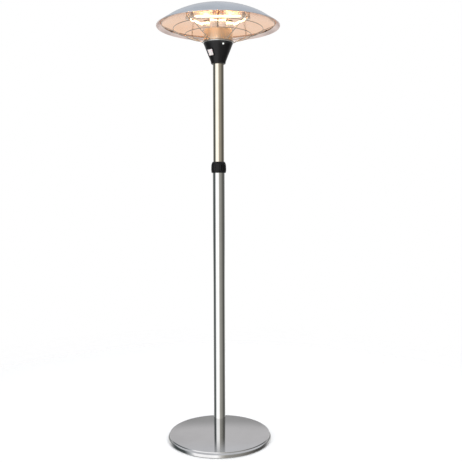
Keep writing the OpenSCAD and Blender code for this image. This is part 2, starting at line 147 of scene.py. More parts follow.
def circle(radius, z, count):
    return [Vector((radius * math.cos(a), radius * math.sin(a), z)) for a in even_angles(count)]


def turned_loops(place, outline, count):
    """An outline of (radius, z) points turned round the z axis of a local frame."""
    return [[place @ p for p in circle(radius, z, count)] for radius, z in outline]


def smoothstep(low, high, value):
    t = max(0.0, min(1.0, (value - low) / (high - low)))
    return t * t * (3 - 2 * t)


def rounded(points, radius, steps=4):
    """The outline with each inner corner replaced by an arc-like curve of about this radius."""
    longest = 0.45
    out = [Vector(points[0])]
    for before, corner, after in zip(points, points[1:], points[2:]):
        corner = Vector(corner)
        to_before, to_after = Vector(before) - corner, Vector(after) - corner
        cut = min(radius, to_before.length * longest, to_after.length * longest)
        start = corner + to_before.normalized() * cut
        end = corner + to_after.normalized() * cut
        for i in range(steps + 1):
            t = i / steps
            out.append(start * (1 - t) ** 2 + corner * 2 * t * (1 - t) + end * t * t)
    out.append(Vector(points[-1]))
    return out


def lathe(name, outline, count=192):
    """Turns a closed outline of (radius, z) points round the pole's axis."""
    shape = bmesh.new()
    add_loft(shape, [circle(radius, z, count) for radius, z in outline], ring=True)
    return finish_bmesh(name, shape)


def add_sweep(shape, path, radius, sides, closed=False):
    """Sweeps a circle along a path of points, without twist. An open sweep has capped ends."""
    count = len(path)
    tangents = []
    for i in range(count):
        if closed:
            ahead, behind = path[(i + 1) % count], path[i - 1]
        else:
            ahead, behind = path[min(i + 1, count - 1)], path[max(i - 1, 0)]
        tangents.append((ahead - behind).normalized())
    side = Vector((0, 0, 1)) if closed else tangents[0].orthogonal().normalized()
    loops = []
    for point, tangent in zip(path, tangents):
        side = (side - tangent * side.dot(tangent)).normalized()
        other = tangent.cross(side)
        loops.append([
            point + (side * math.cos(a) + other * math.sin(a)) * radius for a in even_angles(sides)
        ])
    add_loft(shape, loops, ring=closed, caps=not closed)


def add_block(shape, size, place, bevel, segments):
    """A block with rounded edges, centred on its own frame."""
    made = bmesh.ops.create_cube(shape, size=1, matrix=place @ Matrix.Diagonal((*size, 1)))
    edges = list(dict.fromkeys(e for v in made["verts"] for e in v.link_edges))
    bmesh.ops.bevel(shape, geom=edges, offset=bevel, segments=segments, affect="EDGES", profile=0.5)


def rounded_rectangle(width, height, radius):
    steps = 6
    points = []
    for sx, sy, start in ((1, 1, 0), (-1, 1, 90), (-1, -1, 180), (1, -1, 270)):
        cx, cy = sx * (width / 2 - radius), sy * (height / 2 - radius)
        for i in range(steps + 1):
            a = math.radians(start + 90 * i / steps)
            points.append((cx + radius * math.cos(a), cy + radius * math.sin(a)))
    return points


def stands_for(piece, node, material):
    """The piece is shown in place of this CAD node, with its body."""
    piece.data.materials.append(material)
    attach(piece, BODY_OF[node])
    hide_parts(node)
    return piece


# ---- Materials ----

class ShaderTree:
    """A short way to add and link shader nodes."""

    def __init__(self, tree):
        self.tree = tree

    def add(self, kind, inputs=(), **settings):
        node = self.tree.nodes.new(kind)
        for key, value in settings.items():
            setattr(node, key, value)
        for key, value in dict(inputs).items():
            self.feed(node.inputs[key], value)
        return node

    def feed(self, socket, value):
        """Links a socket to another one, or sets its value; a colour is given as three numbers."""
        if isinstance(value, bpy.types.NodeSocket):
            self.tree.links.new(value, socket)
        elif socket.type == "RGBA":
            socket.default_value = (*value, 1)
        else:
            socket.default_value = value

    def math(self, operation, a, b):
        return self.add("ShaderNodeMath", {0: a, 1: b}, operation=operation).outputs[0]

    def span(self, value, low, high, to_low, to_high, **settings):
        made = self.add("ShaderNodeMapRange", {
            "Value": value, "From Min": low, "From Max": high, "To Min": to_low, "To Max": to_high,
        }, **settings)
        return made.outputs["Result"]

    def mix(self, factor, a, b):
        made = self.add("ShaderNodeMix", {"Factor": factor}, data_type="RGBA")
        colours = [s for s in made.inputs if s.type == "RGBA"]
        for socket, value in zip(colours, (a, b)):
            self.feed(socket, value)
        return [s for s in made.outputs if s.type == "RGBA"][0]


class Surface(ShaderTree):
    """A new material, with the inputs of its main shader."""

    def __init__(self, name):
        self.material = bpy.data.materials.new(name)
        self.material.use_nodes = True
        super().__init__(self.material.node_tree)
        self.shader = self.tree.nodes["Principled BSDF"]
        self.coordinates = self.add("ShaderNodeTexCoord").outputs["Object"]

    def set(self, **values):
        for key, value in values.items():
            self.feed(self.shader.inputs[key.replace("_", " ")], value)

    def noise(self, vector, scale, detail=3.0, roughness=0.5):
        made = self.add("ShaderNodeTexNoise", {
            "Vector": vector, "Scale": scale, "Detail": detail, "Roughness": roughness,
        })
        return made.outputs["Fac"]

    def stretched(self, scale):
        made = self.add("ShaderNodeVectorMath", {0: self.coordinates, 1: scale}, operation="MULTIPLY")
        return made.outputs["Vector"]

    def radius(self):
        flat = self.stretched((1, 1, 0))
        return self.add("ShaderNodeVectorMath", {0: flat}, operation="LENGTH").outputs["Value"]

    def bump(self, height, strength, distance):
        made = self.add("ShaderNodeBump", {"Height": height, "Strength": strength, "Distance": distance})
        self.tree.links.new(made.outputs["Normal"], self.shader.inputs["Normal"])

    def edges(self, low=0.52, high=0.6):
        """Goes from 0 to 1 at outward edges, where rubbing wears a surface first."""
        pointiness = self.add("ShaderNodeNewGeometry").outputs["Pointiness"]
        return self.span(pointiness, low, high, 0, 1)


def spun_metal(name, colour, roughness, rings=900, depth=0.05 * MM, anisotropic=0.0, spread=0.05):
    """Sheet spun on a lathe: fine rings round the axis, smears in the polish, rubbed edges."""
    n = Surface(name)
    radius = n.radius()
    line = n.add("ShaderNodeCombineXYZ", {"X": radius})
    fine = n.noise(line.outputs[0], rings, 4, 0.7)
    smear = n.noise(n.coordinates, 7, 4, 0.6)
    cloud = n.noise(n.stretched((1, 1, 3)), 26, 3, 0.5)
    tone = n.math("ADD", n.math("MULTIPLY", fine, 0.5), n.math("MULTIPLY", smear, 0.5))
    dark = tuple(c * 0.86 for c in colour)
    light = tuple(min(1.0, c * 1.08) for c in colour)
    body = n.mix(n.span(tone, 0.35, 0.65, 0, 1), dark, light)
    n.set(Base_Color=n.mix(n.edges(), body, light))
    n.set(Metallic=1.0, Roughness=n.span(cloud, 0.3, 0.7, roughness - spread, roughness + spread))
    if anisotropic:
        n.set(Anisotropic=anisotropic)
        turn = n.add("ShaderNodeTangent", direction_type="RADIAL", axis="Z")
        n.set(Tangent=turn.outputs[0])
    n.bump(fine, 0.25, depth)
    return n.material


def drawn_tube(name, colour, roughness):
    """Polished drawn tube: hair lines along it, faint bands round it, rubbed spots."""
    n = Surface(name)
    hair = n.noise(n.stretched((1, 1, 0.02)), 1100, 3, 0.6)
    bands = n.noise(n.stretched((0.05, 0.05, 1)), 9, 4, 0.6)
    smear = n.noise(n.coordinates, 18, 4, 0.6)
    dark = tuple(c * 0.9 for c in colour)
    n.set(Base_Color=n.mix(n.span(n.math("ADD", hair, bands), 0.8, 1.2, 0, 1), dark, colour))
    n.set(Metallic=1.0, Roughness=n.span(smear, 0.3, 0.75, roughness - 0.02, roughness + 0.03))
    n.bump(hair, 0.03, 0.004 * MM)
    return n.material


def plain_metal(name, colour, roughness, grain=240, depth=0.03 * MM):
    """Plated or bright metal with a faint grain and worn corners."""
    n = Surface(name)
    grains = n.noise(n.coordinates, grain, 4, 0.6)
    smear = n.noise(n.coordinates, 24, 3, 0.6)
    dark = tuple(c * 0.82 for c in colour)
    body = n.mix(n.span(smear, 0.3, 0.7, 0, 1), dark, colour)
    n.set(Base_Color=n.mix(n.edges(), body, tuple(min(1.0, c * 1.15) for c in colour)))
    n.set(Metallic=1.0, Roughness=n.span(grains, 0.3, 0.7, roughness - 0.04, roughness + 0.06))
    n.bump(grains, 0.2, depth)
    return n.material


def moulded(name, colour, roughness, grain=1400, depth=0.05 * MM, worn=(0.09, 0.09, 0.095), sheen=0.0):
    """Moulded plastic or rubber: spark-eroded grain, slight marbling, polished edges."""
    n = Surface(name)
    texture = n.noise(n.coordinates, grain, 2, 0.6)
    cloud = n.noise(n.coordinates, 35, 3, 0.6)
    dark = tuple(c * 0.8 for c in colour)
    body = n.mix(n.span(cloud, 0.3, 0.7, 0, 1), dark, colour)
    wear = n.math("MULTIPLY", n.edges(0.54, 0.64), n.span(cloud, 0.4, 0.7, 0.1, 0.6))
    n.set(Base_Color=n.mix(wear, body, worn))
    n.set(Roughness=n.span(cloud, 0.3, 0.7, roughness - 0.05, roughness + 0.07))
    n.set(Specular_IOR_Level=0.28, Sheen_Weight=sheen, Sheen_Roughness=0.35)
    n.bump(texture, 0.3, depth)
    return n.material


def reflector_metal(name, colour, roughness):
    """Bright rolled reflector sheet: long waves from the press, light heat bloom. Its salmon base colour
    is a painted reflection of the lamps' warm glow.
    """
    n = Surface(name)
    wave = n.noise(n.stretched((1, 1, 2)), 16, 2, 0.5)
    fine = n.noise(n.coordinates, 420, 3, 0.6)
    bloom = n.span(n.noise(n.coordinates, 9, 4, 0.6), 0.35, 0.7, 0, 1)
    hot = (colour[0], colour[1] * 0.92, colour[2] * 0.84)
    # Both tones carry the painted warm lamp glow; the bloom patches only vary it at random
    n.set(Base_Color=n.mix(bloom, colour, hot))
    n.set(Metallic=1.0, Roughness=n.span(fine, 0.3, 0.7, roughness - 0.03, roughness + 0.05))
    n.bump(wave, 0.35, 1.2 * MM)
    return n.material


def cast_iron(name):
    n = Surface(name)
    rough = n.noise(n.coordinates, 160, 5, 0.7)
    n.set(Base_Color=n.mix(n.span(rough, 0.4, 0.65, 0, 1), (0.03, 0.03, 0.032), (0.075, 0.072, 0.07)))
    n.set(Metallic=0.4, Roughness=n.span(rough, 0.3, 0.7, 0.55, 0.8))
    n.bump(rough, 0.7, 0.5 * MM)
    return n.material


def ceramic(name):
    n = Surface(name)
    grain = n.noise(n.coordinates, 700, 3, 0.6)
    stain = n.noise(n.coordinates, 60, 4, 0.6)
    n.set(Base_Color=n.mix(n.span(stain, 0.45, 0.75, 0, 1), (0.80, 0.75, 0.68), (0.55, 0.44, 0.34)))
    n.set(Roughness=n.span(grain, 0.3, 0.7, 0.5, 0.7))
    n.bump(grain, 0.35, 0.08 * MM)
    return n.material


def glowing_quartz(name):
    """Clear quartz round a burning coil, whitest along its middle."""
    n = Surface(name)
    swirl = n.noise(n.coordinates, 90, 2, 0.5)
    n.set(Base_Color=n.mix(n.span(swirl, 0.3, 0.7, 0, 1), (1.0, 0.86, 0.66), (1.0, 0.93, 0.80)))
    n.set(Roughness=n.span(swirl, 0.3, 0.7, 0.03, 0.08), IOR=1.46, Alpha=0.55)
    n.set(Emission_Color=(1.0, 0.80, 0.50), Emission_Strength=1.9)
    n.bump(swirl, 0.1, 0.1 * MM)
    return n.material


def glowing_coil(name):
    n = Surface(name)
    turns = n.noise(n.coordinates, 300, 2, 0.5)
    n.set(Base_Color=n.mix(turns, (0.9, 0.55, 0.25), (1.0, 0.7, 0.4)), Roughness=0.4)
    n.set(Emission_Color=(1.0, 0.66, 0.30), Emission_Strength=20.0)
    return n.material


def key_plastic(name):
    """Pale translucent rocker key with a slight warm glow from the lamp behind it."""
    n = Surface(name)
    cloud = n.noise(n.coordinates, 120, 3, 0.6)
    n.set(Base_Color=n.mix(n.span(cloud, 0.3, 0.7, 0, 1), (0.74, 0.63, 0.62), (0.86, 0.79, 0.78)))
    n.set(Roughness=n.span(cloud, 0.3, 0.7, 0.22, 0.34), Subsurface_Weight=0.15)
    n.set(Emission_Color=(1.0, 0.86, 0.82), Emission_Strength=0.12)
    n.bump(cloud, 0.1, 0.05 * MM)
    return n.material


def lens_plastic(name):
    n = Surface(name)
    cloud = n.noise(n.coordinates, 300, 2, 0.5)
    n.set(Base_Color=n.mix(cloud, (0.85, 0.85, 0.82), (0.96, 0.96, 0.94)))
    n.set(Roughness=n.span(cloud, 0.3, 0.7, 0.12, 0.25), Subsurface_Weight=0.2)
    n.set(Emission_Color=(1.0, 1.0, 0.97), Emission_Strength=0.6)
    return n.material


def braided(name):
    """Braided glass-fibre sleeve."""
    n = Surface(name)
    weave = n.add("ShaderNodeTexWave", {"Vector": n.coordinates, "Scale": 420.0, "Distortion": 1.0},
                  bands_direction="DIAGONAL").outputs["Fac"]
    fuzz = n.noise(n.coordinates, 900, 2, 0.5)
    n.set(Base_Color=n.mix(weave, (0.62, 0.58, 0.50), (0.84, 0.80, 0.72)))
    n.set(Roughness=n.span(fuzz, 0.3, 0.7, 0.75, 0.9))
    n.bump(weave, 0.5, 0.2 * MM)
    return n.material


MATERIALS = {
    "brushed_base": spun_metal("brushed_base", (0.68, 0.675, 0.68), 0.05, rings=700, depth=0.003 * MM,
                               anisotropic=0.2, spread=0.02),
    "dome_steel": spun_metal("dome_steel", (0.60, 0.64, 0.69), 0.22, rings=500, depth=0.03 * MM),
    "polished_pole": drawn_tube("polished_pole", (0.80, 0.80, 0.79), 0.07),
    # The reflector's salmon base colour is painted: it stands in for the lamps' warm glow in the
    # polished sheet
    "polished_reflector": reflector_metal("polished_reflector", (0.98, 0.68, 0.51), 0.17),
    "chrome_trim": plain_metal("chrome_trim", (0.80, 0.80, 0.79), 0.10),
    "chrome_wire": plain_metal("chrome_wire", (0.52, 0.46, 0.40), 0.20),
    "plain_steel": plain_metal("plain_steel", (0.50, 0.50, 0.52), 0.34, grain=500, depth=0.05 * MM),
    "ballast": cast_iron("ballast"),
    "rubber": moulded("rubber", (0.020, 0.020, 0.021), 0.62, grain=900, depth=0.08 * MM),
    "black_plastic": moulded("black_plastic", (0.008, 0.008, 0.009), 0.30, sheen=0.12),
    "black_grip": moulded("black_grip", (0.005, 0.005, 0.0055), 0.30, grain=1100),
    "switch_black": moulded("switch_black", (0.006, 0.006, 0.007), 0.20, grain=500, depth=0.01 * MM),
    "key_white": key_plastic("key_white"),
    "lens": lens_plastic("lens"),
    "nylon": moulded("nylon", (0.74, 0.72, 0.66), 0.42, grain=700, depth=0.03 * MM,
                     worn=(0.85, 0.84, 0.8)),
    "ceramic": ceramic("ceramic"),
    "quartz": glowing_quartz("quartz"),
    "filament": glowing_coil("filament"),
    "lead_sleeve": braided("lead_sleeve"),
}
# The drum's copper tint is painted: warm lamp glow laid into the colour of its bright metal
LAMP_LIT_COLUMN = drawn_tube("column_lamp_glow_metal", (1.0, 0.82, 0.62), 0.28)
PANEL_METAL = drawn_tube("panel_metal", (0.90, 0.94, 1.0), 0.22)
# A warmer copy of the pole's polish for the upper tube: the tint is a painted warm reflection
UPPER_POLE_WARM_REFLECTION = drawn_tube("upper_pole_warm_reflection", (0.86, 0.79, 0.68), 0.07)
# A lighter, pinker copy of the dome steel: painted reflection of the lamps' warm glow under the brim
UNDERSIDE_GLOW_REFLECTION = spun_metal("underside_glow_reflection", (0.86, 0.71, 0.67), 0.30, rings=500, depth=0.05 * MM)


def dress_cad_nodes():
    """Every CAD node takes the material of its slot; the upper tube takes a warmer copy of the polish, a
    painted warm reflection.
    """
    for name, node in frame["nodes"].items():
        node.data.materials.clear()
        node.data.materials.append(UPPER_POLE_WARM_REFLECTION if name == "upper_tube" else MATERIALS[SLOT_OF[name]])


# ---- Base ----

def make_base_shell():
    """The spun cover: a flat top, a small step, a sloping shoulder and a straight skirt."""
    skirt_z, skirt_wall, sheet, bolt_hole = 2.2 * MM, 2.2 * MM, 1.5 * MM, 5.5 * MM
    under_flat_r = BASE_FLAT_R - 3.5 * MM
    outline = rounded([
        (bolt_hole, BASE_TOP),
        (BASE_FLAT_R, BASE_TOP),
        (BASE_FLAT_R, BASE_TOP - 4.5 * MM),
        (BASE_R - 3.0 * MM, BASE_TOP - 7.5 * MM),
        (BASE_R, BASE_TOP - 11 * MM),
        (BASE_R, skirt_z),
        (BASE_R - skirt_wall, skirt_z),
        (BASE_R - skirt_wall, BASE_TOP - 10.5 * MM),
        (under_flat_r, BASE_TOP - 6.2 * MM),
        (under_flat_r, BASE_TOP - sheet),
        (bolt_hole, BASE_TOP - sheet),
    ], 1.6 * MM, 5)
    stands_for(lathe("base_shell", outline, 256), "base_cover", MATERIALS["brushed_base"])


def make_pads():
    """Five rubber pads with hollow feet."""
    low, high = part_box("base_pads")
    count, first, reach, thick = 5, 36, 204 * MM, high.z - low.z
    middle, hollow, outer, dent = 0.5 * MM, 5 * MM, 14 * MM, 2 * MM
    outline = rounded([(middle, thick), (outer, thick), (outer, 0), (hollow, 0), (hollow, dent),
                       (middle, dent)], 0.8 * MM)
    shape = bmesh.new()
    for i in range(count):
        place = facing(first + 360 / count * i) @ Matrix.Translation((0, -reach, 0))
        add_loft(shape, turned_loops(place, outline, 48), caps=True)
    stands_for(finish_bmesh("rubber_pads", shape), "base_pads", MATERIALS["rubber"])


def make_grommet():
    """The rubber grommet round the lead's inlet, its flange curved to the tube."""
    low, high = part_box("cable_grommet")
    middle_z = (low.z + high.z) / 2
    bore, neck, flange, inner_end = 3.6 * MM, 6.9 * MM, 9.4 * MM, -5.4 * MM
    # Each point's radius round the inlet, then its distance out from the tube's surface
    outline = rounded([
        (bore, inner_end), (neck, inner_end), (neck, 0.1 * MM), (flange, 0.1 * MM), (flange, 1.5 * MM),
        (7.9 * MM, 3.7 * MM), (5.0 * MM, 4.0 * MM), (bore, 3.0 * MM), (bore, inner_end + 0.1 * MM),
    ], 0.8 * MM)
    loops = []
    for radius, out in outline:
        loops.append([
            Vector((p.x, math.sqrt(LOWER_R ** 2 - p.x ** 2) + out, middle_z + p.y))
            for p in circle(radius, 0, 48)
        ])
    shape = bmesh.new()
    add_loft(shape, loops, ring=True)
    stands_for(finish_bmesh("inlet_grommet", shape), "cable_grommet", MATERIALS["rubber"])


# ---- Twist collar ----

def make_collar():
    """A ribbed twist collar: fluted grip, a plain shoulder, and pockets round the skirt."""
    nut_low, nut_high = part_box("collar_nut")
    ribs, pockets, flute_depth, pocket_depth = 20, 12, 1.2 * MM, 1.7 * MM
    top, low, outer = nut_high.z, nut_low.z, nut_high.x
    bore, neck = 31.9 * MM, UPPER_R + 0.4 * MM
    outline = rounded([
        (bore, low), (outer - 3.4 * MM, low), (outer - 1.1 * MM, low + 3.5 * MM),
        (outer, low + 13 * MM), (outer, low + 23 * MM), (outer - 0.6 * MM, low + 36 * MM),
        (outer - 2.6 * MM, low + 46 * MM), (outer - 6.5 * MM, top - 0.8 * MM),
        (neck + 1 * MM, top), (neck, top - 1 * MM), (neck, top - 5 * MM), (bore, top - 6 * MM),
    ], 3 * MM, 5)
    loops = []
    for radius, z in outline:
        height = z - low
        grip = smoothstep(8 * MM, 11 * MM, height) * (1 - smoothstep(40 * MM, 45 * MM, height))
        skirt = smoothstep(0.8 * MM, 1.6 * MM, height) * (1 - smoothstep(5.5 * MM, 6.5 * MM, height))
        outside = 1.0 if radius > bore + 1 * MM else 0.0
        loop = []
        for a in even_angles(360):
            flute = 0.5 - 0.5 * math.cos(ribs * a)
            pocket = smoothstep(0.25, 0.5, 0.5 - 0.5 * math.cos(pockets * a))
            inset = outside * (flute_depth * grip * flute ** 2 + pocket_depth * skirt * pocket)
            loop.append(Vector(((radius - inset) * math.cos(a), (radius - inset) * math.sin(a), z)))
        loops.append(loop)
    shape = bmesh.new()
    add_loft(shape, loops, ring=True)
    stands_for(finish_bmesh("twist_collar", shape, 50), "collar_nut", MATERIALS["black_grip"])


# ---- Control housing ----

SWITCH_AZ, SWITCH_Z, LENS_AZ = -43, CONE_Z + 51 * MM, 22
KEY_W, KEY_L, KEY_THROW = 14.7 * MM, 28.8 * MM, 7
PANEL_W, PANEL_L, PANEL_FACE = 2 * KEY_W + 4.6 * MM, KEY_L + 5.2 * MM, 3.2 * MM
AXLE_DEPTH = 4 * MM


def make_trim_ring():
    low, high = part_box("trim_ring")
    inner_r = 69.6 * MM
    outline = rounded([
        (inner_r, low.z), (high.x - 0.6 * MM, low.z), (high.x, low.z + 0.9 * MM),
        (high.x, high.z - 0.9 * MM), (high.x - 0.8 * MM, high.z), (inner_r, high.z),
    ], 0.8 * MM)
    stands_for(lathe("trim_band", outline), "trim_ring", MATERIALS["chrome_trim"])


def make_switch_frame():
    """The raised frame round the two keys, with rounded corners."""
    place = on_cone(SWITCH_AZ, SWITCH_Z)
    border, foot = 3.6 * MM, -14 * MM
    outer_w, outer_l = PANEL_W + border, PANEL_L + border
    inner_w, inner_l = 2 * KEY_W + 1.2 * MM, KEY_L + 1.6 * MM
    # Each loop's width, length, corner radius and height
    rings = [
        (PANEL_W, PANEL_L, 2 * MM, foot),
        (PANEL_W, PANEL_L, 2 * MM, -7 * MM),
        (outer_w, outer_l, 3 * MM, -6.9 * MM),
        (outer_w, outer_l, 3 * MM, PANEL_FACE - 1 * MM),
        (outer_w - 0.6 * MM, outer_l - 0.6 * MM, 2.8 * MM, PANEL_FACE - 0.3 * MM),
        (outer_w - 1.8 * MM, outer_l - 1.8 * MM, 2.4 * MM, PANEL_FACE),
        (inner_w + 1.2 * MM, inner_l + 1.2 * MM, 1.4 * MM, PANEL_FACE),
        (inner_w + 0.3 * MM, inner_l + 0.3 * MM, 1.0 * MM, PANEL_FACE - 0.3 * MM),
        (inner_w, inner_l, 0.9 * MM, PANEL_FACE - 1 * MM),
        (inner_w, inner_l, 0.9 * MM, foot),
    ]
    shape = bmesh.new()
    loops = [[place @ Vector((x, y, z)) for x, y in rounded_rectangle(w, h, r)] for w, h, r, z in rings]
    add_loft(shape, loops, ring=True)
    stands_for(finish_bmesh("switch_frame", shape), "switch_bezel", MATERIALS["switch_black"])


def make_key(name, node, side):
    """One rocker key with a dished face and rounded edges, at its on stop."""
    half_l, half_w, inset, gap = KEY_L / 2, KEY_W / 2, 0.7 * MM, 0.2 * MM
    under, under_y, shoulder = -2.6 * MM, 7 * MM, 3.2 * MM
    face = rounded([
        (-half_l, 6.4 * MM), (-half_l / 2, 5.4 * MM), (0, 5.0 * MM), (half_l / 2, 5.4 * MM),
        (half_l, 6.4 * MM), (half_l, shoulder), (under_y, under), (-under_y, under),
        (-half_l, shoulder), (-half_l, 6.3 * MM),
    ], 1.2 * MM, 3)
    place = (
        on_cone(SWITCH_AZ, SWITCH_Z)
        @ Matrix.Translation((side * (half_w + gap), 0, -AXLE_DEPTH))
        @ Matrix.Rotation(math.radians(KEY_THROW), 4, "X")
    )
    # Each section's place across the key, then how far its outline is drawn in
    sections = [(-half_w, inset), (-half_w + 0.2 * MM, 0.3 * MM), (-half_w + inset, 0),
                (half_w - inset, 0), (half_w - 0.2 * MM, 0.3 * MM), (half_w, inset)]
    loops = []
    for x, shrink in sections:
        loops.append([
            place @ Vector((x, y * (1 - shrink / half_l), z - shrink * (1 if z > 0 else -1)))
            for y, z in face
        ])
    shape = bmesh.new()
    add_loft(shape, loops, caps=True)
    stands_for(finish_bmesh(name, shape, 40), node, MATERIALS["key_white"])


def make_lens():
    """The indicator's lens with a ball-shaped face, and its bezel."""
    place = on_cone(LENS_AZ, CONE_TOP - 14 * MM)
    radius, ball, face_z, steps = 4 * MM, 6 * MM, 1.6 * MM, 9
    rise = ball - math.sqrt(ball * ball - radius * radius)
    outline = [(radius, -6 * MM), (radius, 1.5 * MM)]
    for i in range(1, steps):
        r = radius * math.cos(math.pi / 2 * i / steps)
        outline.append((r, face_z + rise - ball + math.sqrt(ball * ball - r * r)))
    shape = bmesh.new()
    add_loft(shape, turned_loops(place, outline, 48), caps=True)
    stands_for(finish_bmesh("lamp_lens", shape), "indicator_lens", MATERIALS["lens"])

    bore, outer, back = 4.05 * MM, 6 * MM, -5 * MM
    ring = rounded([(bore, back), (outer, back), (outer, face_z), (bore, face_z),
                    (bore, back + 0.1 * MM)], 0.6 * MM)
    shape = bmesh.new()
    add_loft(shape, turned_loops(place, ring, 48), ring=True)
    stands_for(finish_bmesh("lens_ring", shape), "indicator_bezel", MATERIALS["switch_black"])


# ---- Column between the housing and the reflector ----

PLATE_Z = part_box("lamp_plate")[0].z
SLEEVE_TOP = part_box("column_sleeve")[1].z
SLEEVE_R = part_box("column_sleeve")[1].x


def make_column():
    """The drum on the housing, with a flange turned in at its top."""
    wall, flange_r = 1 * MM, 50 * MM
    outline = rounded([
        (SLEEVE_R, CONE_TOP), (SLEEVE_R, SLEEVE_TOP), (flange_r, SLEEVE_TOP),
        (flange_r, SLEEVE_TOP - wall), (SLEEVE_R - wall, SLEEVE_TOP - wall), (SLEEVE_R - wall, CONE_TOP),
    ], 1.2 * MM)
    # The drum's warm colour is painted lamp glow
    stands_for(lathe("column_drum", outline), "column_sleeve", LAMP_LIT_COLUMN)


def make_column_plates():
    """Three bent plates round the drum's top, with folded edges at the slots between them."""
    outer, slot, thick, fold = 76 * MM, 4 * MM, 1.6 * MM, 9 * MM
    flat = outer * math.cos(math.pi / 6)
    corner = flat * math.tan(math.pi / 6)
    line = rounded([
        Vector((slot / 2, fold - flat, 0)), Vector((slot / 2, -flat, 0)), Vector((corner, -flat, 0)),
        facing(60) @ Vector((corner, -flat, 0)), facing(120) @ Vector((-slot / 2, -flat, 0)),
        facing(120) @ Vector((-slot / 2, fold - flat, 0)),
    ], 3 * MM)
    inner = []
    for i, point in enumerate(line):
        ahead, behind = line[min(i + 1, len(line) - 1)], line[max(i - 1, 0)]
        along = (ahead - behind).normalized()
        inner.append(point + Vector((-along.y, along.x, 0)) * thick)
    outline = line + inner[::-1]
    shape = bmesh.new()
    for start in LAMP_DIRECTIONS:
        turn = facing(start)
        loops = [[turn @ (p + Vector((0, 0, z))) for p in outline] for z in (SLEEVE_TOP, PLATE_Z)]
        for row in add_loft(shape, loops):
            for i in range(len(line) - 1):
                shape.faces.new((row[i], row[i + 1], row[-2 - i], row[-1 - i]))
    stands_for(finish_bmesh("column_panels", shape, 40), "column_plates", PANEL_METAL)


# ---- Head ----

def crown_height(radius):
    """The height of the dome's ball-shaped crown at this distance from the axis."""
    crown_r, crown_h = HEAD_R - BRIM_W, CROWN_Z - RIM_Z - BRIM_RISE
    ball = (crown_r * crown_r + crown_h * crown_h) / (2 * crown_h)
    return CROWN_Z - ball + math.sqrt(ball * ball - radius * radius)


def make_dome():
    """The spun outer shell: a rounded crown, a straight brim, and a rolled rim."""
    steps, blended, roll_r, downward = 40, 4, 1.5 * MM, -0.2
    radii = [(HEAD_R - BRIM_W) * i / steps for i in range(1, steps + 1)]
    crown = [(ROD_HOLE, CROWN_Z)] + [(r, crown_height(r)) for r in radii[1:]]
    brim_end = (HEAD_R - 0.6 * MM, RIM_Z + 0.6 * MM)
    join = rounded([crown[-blended], crown[-1], brim_end], 16 * MM, 6)
    top = crown[:-blended] + [tuple(p) for p in join[1:]]
    inside = [(max(ROD_HOLE, r - 0.45 * MM), z - SHEET) for r, z in top[:-1]]
    roll = [
        (HEAD_R - roll_r + roll_r * math.cos(a), RIM_Z + roll_r + roll_r * math.sin(a))
        for a in (math.radians(40 - 30 * i) for i in range(8))
    ]
    shell = lathe("dome_shell", top[:-1] + roll + inside[::-1], 256)
    stands_for(shell, "dome_cover", MATERIALS["dome_steel"])
    # Faces that look downwards take the pinker copy of the steel, a painted reflection of the lamps'
    # glow
    shell.data.materials.append(UNDERSIDE_GLOW_REFLECTION)
    for face in shell.data.polygons:
        if face.normal.z < downward:
            face.material_index = 1


def make_reflector():
    """The pressed inner reflector, with its turned-down lip."""
    # Each station's radius and its drop below the top, in millimetres
    stations = [(70, 0), (110, 3), (150, 7.5), (190, 14), (225, 21.5), (255, 30.5)]
    top = [(ROD_HOLE, MIRROR_TOP)] + [(r * MM, MIRROR_TOP - drop * MM) for r, drop in stations]
    line = rounded(top + [(MIRROR_R, mirror_low.z + SHEET)], 14 * MM, 5)
    lip_wall = 0.3 * MM
    under = [(r - lip_wall if r > 200 * MM else r, z - SHEET) for r, z in line]
    under[-1] = (MIRROR_R - lip_wall, mirror_low.z + 0.1 * MM)
    outline = line + under[::-1]
    stands_for(lathe("reflector_bowl", outline, 256), "reflector", MATERIALS["polished_reflector"])


def make_crown_washer():
    low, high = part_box("dome_washer")
    bore, outer = 4.2 * MM, 12 * MM
    outline = rounded([(bore, low.z), (outer, low.z), (outer, high.z), (bore, high.z),
                       (bore, low.z + 0.1 * MM)], 0.5 * MM)
    stands_for(lathe("crown_washer", outline, 64), "dome_washer", MATERIALS["chrome_trim"])


def hexagon(corner, z, roundness, count):
    """A hexagon that becomes a circle as its roundness goes from 0 to 1."""
    loop = []
    for a in even_angles(count):
        side = corner * math.cos(math.pi / 6) / math.cos(a % (math.pi / 3) - math.pi / 6)
        radius = side * (1 - roundness) + corner * 0.86 * roundness
        loop.append(Vector((radius * math.cos(a), radius * math.sin(a), z)))
    return loop


def make_crown_nut():
    """A domed cap nut at the crown."""
    low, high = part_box("dome_nut")
    corner, cap_r, edge, count, steps = 7.5 * MM, 5.9 * MM, 0.5 * MM, 48, 9
    flat_top = low.z + 3.6 * MM
    cap_z = flat_top + edge
    loops = [hexagon(corner, low.z, 0.5, count), hexagon(corner, low.z + edge, 0, count),
             hexagon(corner, flat_top, 0, count), hexagon(corner, cap_z, 0.8, count)]
    for i in range(steps):
        a = math.pi / 2 * i / steps
        loops.append(circle(cap_r * math.cos(a), cap_z + (high.z - cap_z) * math.sin(a), count))
    shape = bmesh.new()
    add_loft(shape, loops, caps=True)
    stands_for(finish_bmesh("crown_nut", shape, 30), "dome_nut", MATERIALS["chrome_trim"])


# ---- Lamps ----

HOLDER_IN = LAMP_L / 2 - 8 * MM
HOLDER_MID = HOLDER_IN + 11 * MM


def each_lamp():
    return [facing(a) @ Matrix.Translation((0, -LAMP_R, LAMP_Z)) for a in LAMP_DIRECTIONS]


